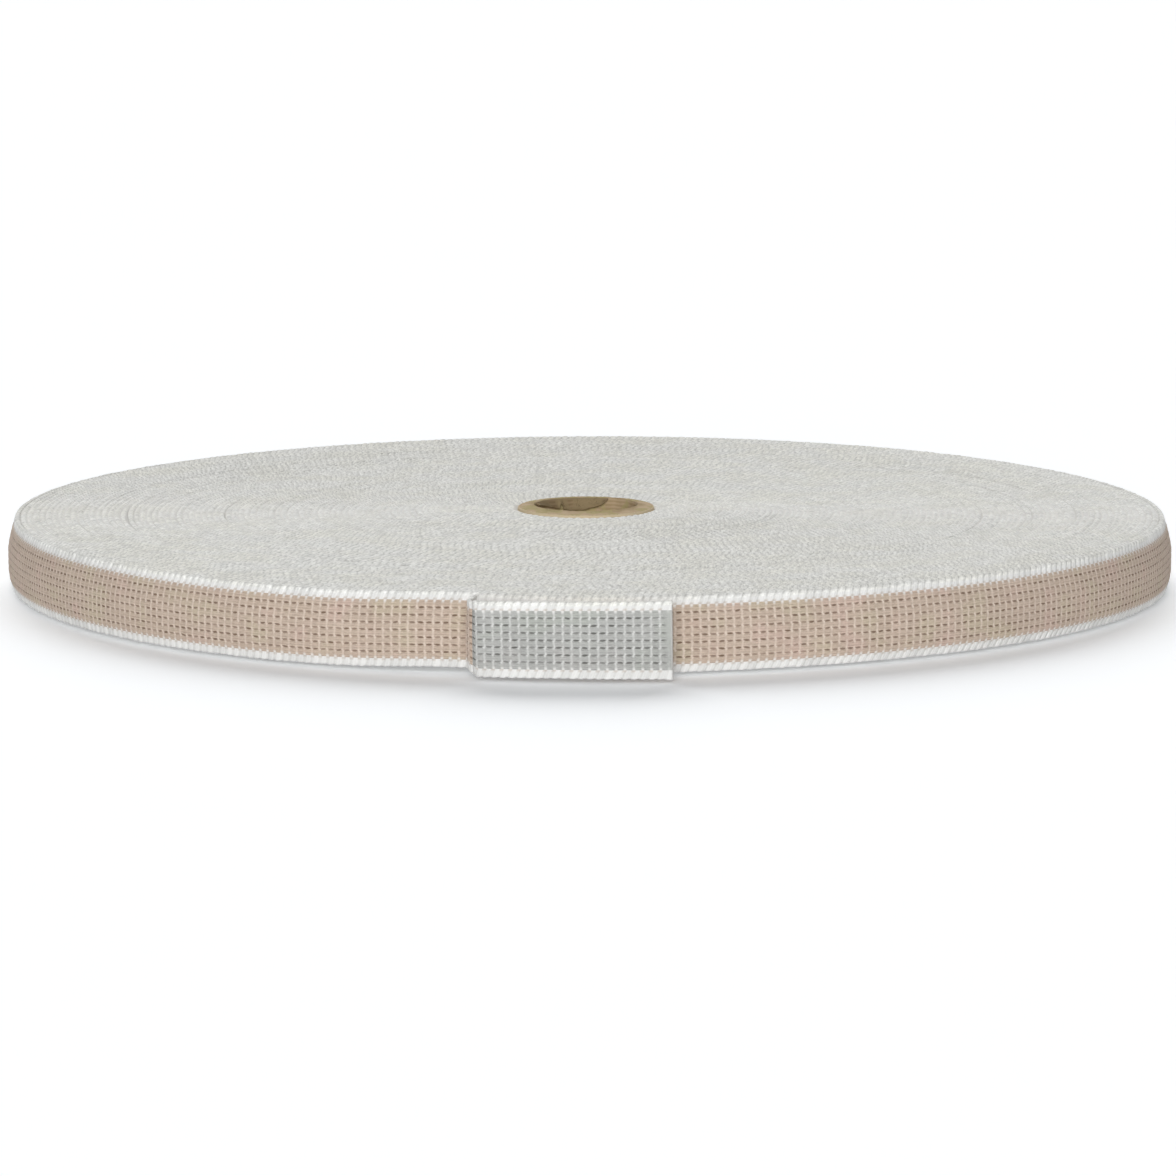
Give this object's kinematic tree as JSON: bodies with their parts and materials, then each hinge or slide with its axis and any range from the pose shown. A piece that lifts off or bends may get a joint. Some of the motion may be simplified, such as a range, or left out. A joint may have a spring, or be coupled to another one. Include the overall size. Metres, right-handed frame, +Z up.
{
  "type": "roll of cotton webbing",
  "caption": "Flat roll of narrow two-faced woven webbing, beige outside and grey inside with white selvedges, on a cardboard core, its free end folded back.",
  "frame": {"origin": "on the ground under the middle of the part's box; the roll's own axis stands 0.7 mm to the left of it and 4.0 mm behind it, because the folded end sticks out in front", "axes": "+Z up, square to the roll's flat side; -Y towards the front, where the free end is folded back; +X to the right as seen from the front"},
  "size_m": [0.3306, 0.3398, 0.0218],
  "materials": {
    "webbing_selvedge": "white woven selvedges, wound side by side",
    "webbing_face": "beige ribbed weave",
    "webbing_reverse": "light grey ribbed weave",
    "core_cardboard": "wound brown paper plies with cut ends"
  },
  "bodies": {
    "root": {"wound_roll": "webbing_selvedge", "core_tube": "core_cardboard", "loose_end": "webbing_reverse"}
  },
  "joints": []
}
